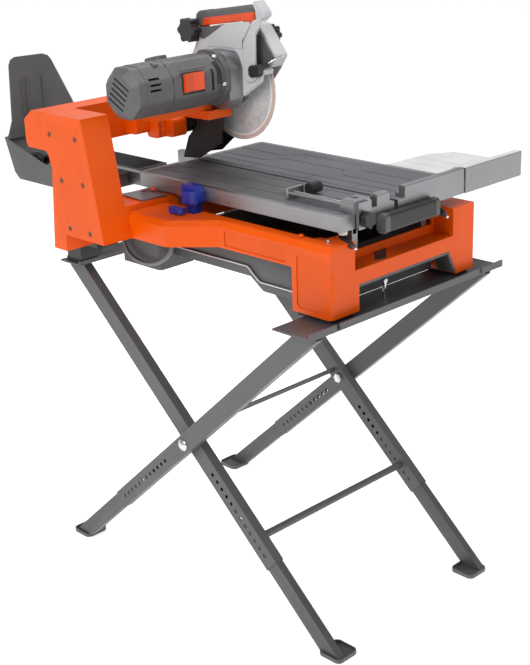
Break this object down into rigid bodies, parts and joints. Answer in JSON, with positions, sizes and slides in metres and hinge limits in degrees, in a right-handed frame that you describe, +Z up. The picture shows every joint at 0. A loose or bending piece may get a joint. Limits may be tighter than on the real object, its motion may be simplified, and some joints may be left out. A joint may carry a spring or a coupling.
{
  "type": "tile cutter",
  "caption": "Wet tile cutter with a sliding table, tilting and plunging saw head on an orange base, and a folding X stand with telescopic feet",
  "frame": {"origin": "middle of the whole object on the floor", "axes": "+X towards the operator along the table's travel, +Y away from the motor along the blade's axis, +Z up"},
  "size_m": [1.2367, 0.861, 1.4247],
  "materials": {
    "orange_paint": "satin enamel",
    "black_steel": "powder coat",
    "grey_plastic": "moulded",
    "dark_plastic": "moulded",
    "light_guard": "satin",
    "bright_steel": "brushed",
    "chrome": "bright",
    "alloy": "mill finish",
    "rubber_black": "grooved",
    "blue_plastic": "gloss",
    "orange_plastic": "gloss",
    "clear_hose": "smooth",
    "light_plastic": "moulded"
  },
  "bodies": {
    "inner_frame": {"inner_legs": "black_steel", "left_channel": "black_steel", "leg_braces": "black_steel", "pivot_bolts": "chrome"},
    "outer_frame": {"outer_legs": "black_steel", "right_channel": "black_steel"},
    "machine_base": {"chassis": "orange_paint", "column": "orange_paint", "column_cover": "orange_paint", "cover_screws": "black_steel", "ledge_plate": "alloy", "table_tracks": "alloy", "rubber_feet": "rubber_black", "rear_foot_blocks": "dark_plastic", "water_tub": "grey_plastic", "rear_tray": "grey_plastic", "splash_shield": "grey_plastic", "water_pump": "dark_plastic", "drain_hose": "clear_hose"},
    "table_lock": {"table_lock": "blue_plastic"},
    "water_valve": {"water_valve": "blue_plastic"},
    "table": {"table_frame": "alloy", "table_mat": "rubber_black", "fence": "alloy", "push_handle": "dark_plastic"},
    "rear_rollers": {"rear_rollers": "dark_plastic"},
    "front_rollers": {"front_rollers": "dark_plastic"},
    "extension_table": {"extension_table": "light_plastic"},
    "side_guide": {"side_guide": "alloy"},
    "guide_knob": {"guide_knob": "dark_plastic"},
    "guide_star_knob": {"guide_star_knob": "dark_plastic"},
    "bevel_carrier": {"tilt_block": "orange_paint", "hub_bellows": "dark_plastic"},
    "bevel_knob": {"tilt_knob": "dark_plastic"},
    "head": {"motor_housing": "grey_plastic", "motor_end_cap": "grey_plastic", "motor_stator": "bright_steel", "gear_housing": "alloy", "shaft_bearings": "bright_steel", "blade_guard": "light_guard", "handle": "grey_plastic", "head_cradle": "orange_paint", "splash_flap": "rubber_black"},
    "switch": {"switch_rocker": "orange_plastic"},
    "plunge_lock": {"plunge_lock_knob": "dark_plastic"},
    "guard_cover": {"guard_cover": "light_guard"},
    "cover_knob": {"cover_knob": "dark_plastic"},
    "motor_rotor": {"armature": "bright_steel"},
    "blade_set": {"spindle": "bright_steel", "flange_nut": "bright_steel", "blade": "bright_steel", "spindle_gear": "bright_steel"},
    "leg_foot_near_left": {"foot_near_left": "black_steel"},
    "snap_button_near_left": {"snap_button_near_left": "chrome"},
    "leg_foot_near_right": {"foot_near_right": "black_steel"},
    "snap_button_near_right": {"snap_button_near_right": "chrome"},
    "leg_foot_far_left": {"foot_far_left": "black_steel"},
    "snap_button_far_left": {"snap_button_far_left": "chrome"},
    "leg_foot_far_right": {"foot_far_right": "black_steel"},
    "snap_button_far_right": {"snap_button_far_right": "chrome"}
  },
  "joints": [
    {"name": "stand_fold", "type": "hinge", "parent": "inner_frame", "child": "outer_frame", "pos_m": [0.13765, -0.0395, 0.413], "axis": [0, 1, 0], "range_deg": [0, 70]},
    {"name": "leg_slide_near_left", "type": "slide", "parent": "outer_frame", "child": "leg_foot_near_left", "axis": [-0.7402, 0, -0.6724], "range_m": [-0.126, 0.105]},
    {"name": "snap_press_near_left", "type": "slide", "parent": "leg_foot_near_left", "child": "snap_button_near_left", "axis": [0, 1, 0], "range_m": [0, 0.003], "stiffness_N_per_m": 2000, "springref_m": -0.002},
    {"name": "leg_slide_near_right", "type": "slide", "parent": "inner_frame", "child": "leg_foot_near_right", "axis": [0.7402, 0, -0.6724], "range_m": [-0.126, 0.105]},
    {"name": "snap_press_near_right", "type": "slide", "parent": "leg_foot_near_right", "child": "snap_button_near_right", "axis": [0, 1, 0], "range_m": [0, 0.003], "stiffness_N_per_m": 2000, "springref_m": -0.002},
    {"name": "leg_slide_far_left", "type": "slide", "parent": "outer_frame", "child": "leg_foot_far_left", "axis": [-0.7402, 0, -0.6724], "range_m": [-0.126, 0.105]},
    {"name": "snap_press_far_left", "type": "slide", "parent": "leg_foot_far_left", "child": "snap_button_far_left", "axis": [0, -1, 0], "range_m": [0, 0.003], "stiffness_N_per_m": 2000, "springref_m": -0.002},
    {"name": "leg_slide_far_right", "type": "slide", "parent": "inner_frame", "child": "leg_foot_far_right", "axis": [0.7402, 0, -0.6724], "range_m": [-0.126, 0.105]},
    {"name": "snap_press_far_right", "type": "slide", "parent": "leg_foot_far_right", "child": "snap_button_far_right", "axis": [0, -1, 0], "range_m": [0, 0.003], "stiffness_N_per_m": 2000, "springref_m": -0.002},
    {"name": "saw_lift", "type": "slide", "parent": "inner_frame", "child": "machine_base", "axis": [0, 0, 1], "range_m": [0, 0.15]},
    {"name": "table_slide", "type": "slide", "parent": "machine_base", "child": "table", "axis": [-1, 0, 0], "range_m": [0, 0.44]},
    {"name": "rear_roller_spin", "type": "hinge", "parent": "table", "child": "rear_rollers", "pos_m": [0.09765, -0.0005, 0.999], "axis": [0, 1, 0], "range_deg": [-2300, 0]},
    {"name": "front_roller_spin", "type": "hinge", "parent": "table", "child": "front_rollers", "pos_m": [0.35765, -0.0005, 0.999], "axis": [0, 1, 0], "range_deg": [-2300, 0]},
    {"name": "extension_pull", "type": "slide", "parent": "table", "child": "extension_table", "axis": [0, 1, 0], "range_m": [0, 0.1]},
    {"name": "guide_slide", "type": "slide", "parent": "table", "child": "side_guide", "axis": [0, 1, 0], "range_m": [-0.03, 0.018]},
    {"name": "guide_knob_turn", "type": "hinge", "parent": "side_guide", "child": "guide_knob", "pos_m": [0.36965, -0.1135, 1.041], "axis": [0, 1, 0], "continuous": true},
    {"name": "guide_clamp_turn", "type": "hinge", "parent": "side_guide", "child": "guide_star_knob", "pos_m": [0.56565, -0.1565, 1.01], "axis": [1, 0, 0], "continuous": true},
    {"name": "table_lock_pull", "type": "slide", "parent": "machine_base", "child": "table_lock", "axis": [0, -1, 0], "range_m": [0, 0.012]},
    {"name": "water_valve_turn", "type": "hinge", "parent": "machine_base", "child": "water_valve", "pos_m": [0.07965, -0.2835, 0.978], "axis": [0, 0, -1], "range_deg": [0, 90]},
    {"name": "bevel_tilt", "type": "hinge", "parent": "machine_base", "child": "bevel_carrier", "pos_m": [-0.18235, -0.1495, 1.158], "axis": [1, 0, 0], "range_deg": [0, 22.5]},
    {"name": "bevel_knob_turn", "type": "hinge", "parent": "bevel_carrier", "child": "bevel_knob", "pos_m": [-0.29235, -0.1495, 1.158], "axis": [1, 0, 0], "continuous": true},
    {"name": "plunge", "type": "hinge", "parent": "bevel_carrier", "child": "head", "pos_m": [-0.09235, -0.0795, 1.123], "axis": [0, 1, 0], "range_deg": [0, 33], "stiffness_Nm_per_rad": 20, "springref_deg": -91.67},
    {"name": "switch_rock", "type": "hinge", "parent": "head", "child": "switch", "pos_m": [0.11265, -0.2315, 1.269], "axis": [0, 0, 1], "range_deg": [-7, 7]},
    {"name": "plunge_lock_turn", "type": "hinge", "parent": "head", "child": "plunge_lock", "pos_m": [-0.04835, -0.0895, 1.356], "axis": [0, 1, 0], "continuous": true},
    {"name": "guard_cover_off", "type": "slide", "parent": "head", "child": "guard_cover", "axis": [0, 1, 0], "range_m": [0, 0.06]},
    {"name": "cover_knob_turn", "type": "hinge", "parent": "guard_cover", "child": "cover_knob", "pos_m": [0.12565, 0.0055, 1.345], "axis": [0, 1, 0], "continuous": true},
    {"name": "motor_spin", "type": "hinge", "parent": "head", "child": "motor_rotor", "pos_m": [0.05765, -0.2395, 1.259], "axis": [0, 1, 0], "continuous": true},
    {"name": "blade_spin", "type": "hinge", "parent": "head", "child": "blade_set", "pos_m": [0.05765, -0.0395, 1.223], "axis": [0, 1, 0], "continuous": true}
  ],
  "couplings": [
    {"joint": "front_roller_spin", "follows": "table_slide", "rad_per_m": -90.909},
    {"joint": "rear_roller_spin", "follows": "table_slide", "rad_per_m": -90.909},
    {"joint": "blade_spin", "follows": "motor_spin", "ratio": -0.2}
  ]
}
